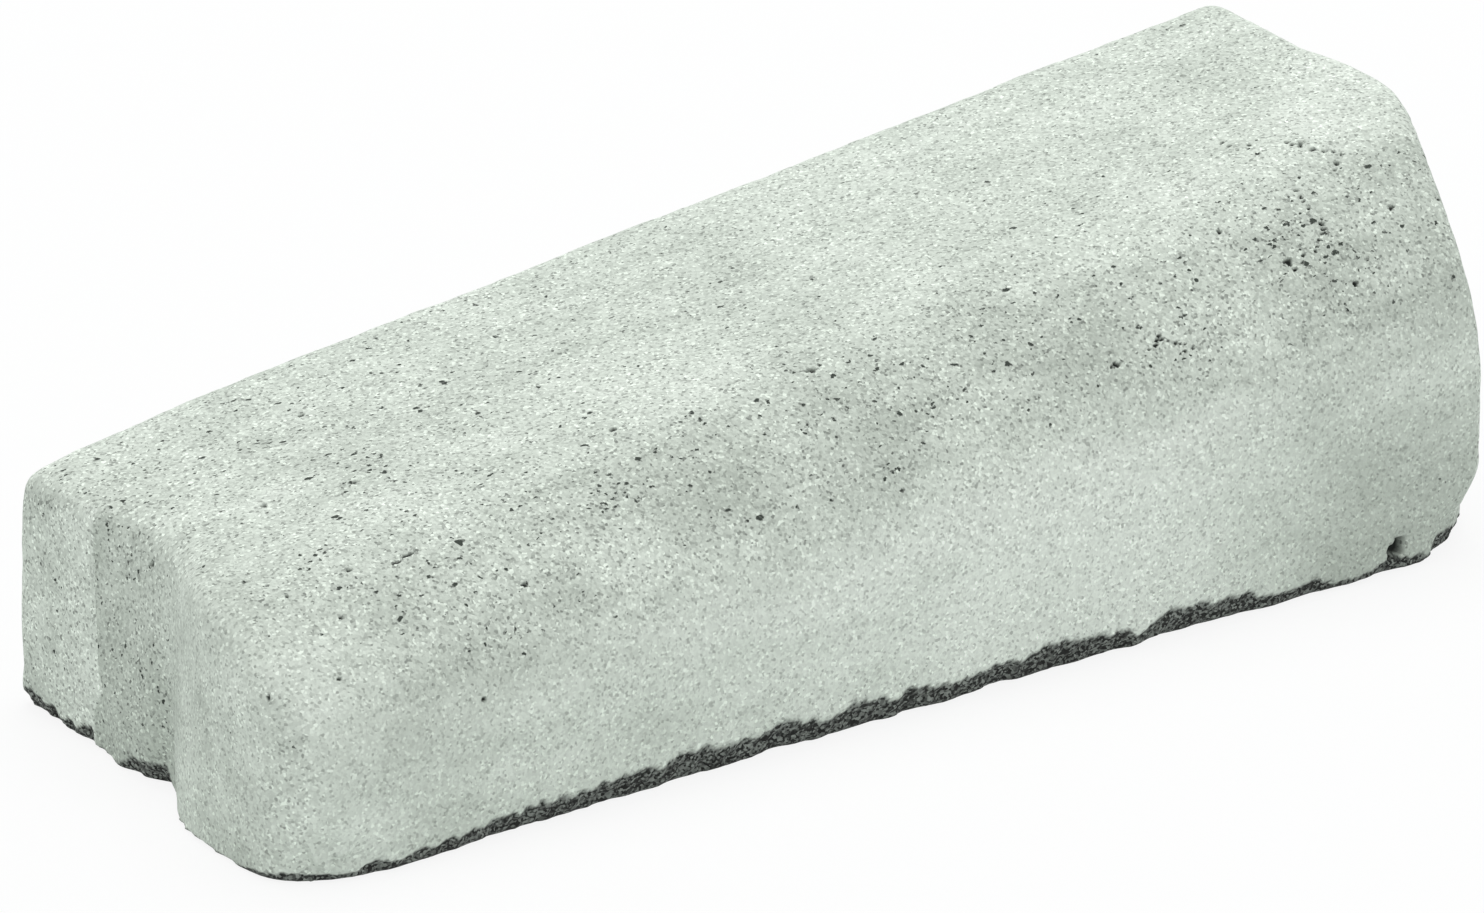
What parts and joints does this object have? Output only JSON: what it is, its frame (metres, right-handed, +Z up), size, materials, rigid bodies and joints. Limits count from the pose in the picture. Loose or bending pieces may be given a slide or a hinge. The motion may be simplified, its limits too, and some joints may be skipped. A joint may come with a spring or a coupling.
{
  "type": "kerb stone",
  "caption": "Concrete transition kerb stone with a rounded road face, rising from a low end to a high end, with an interlocking curved joint at each end.",
  "frame": {"origin": "bottom centre of the whole stone, on its bed", "axes": "+X along the kerb from the low end to the high end, +Y towards the back that the paving meets, +Z up"},
  "size_m": [0.4182, 0.15, 0.1098],
  "materials": {
    "concrete": "pale grey-green cast concrete, matt, with fine pores"
  },
  "bodies": {
    "root": {"kerb_stone": "concrete"}
  },
  "joints": []
}
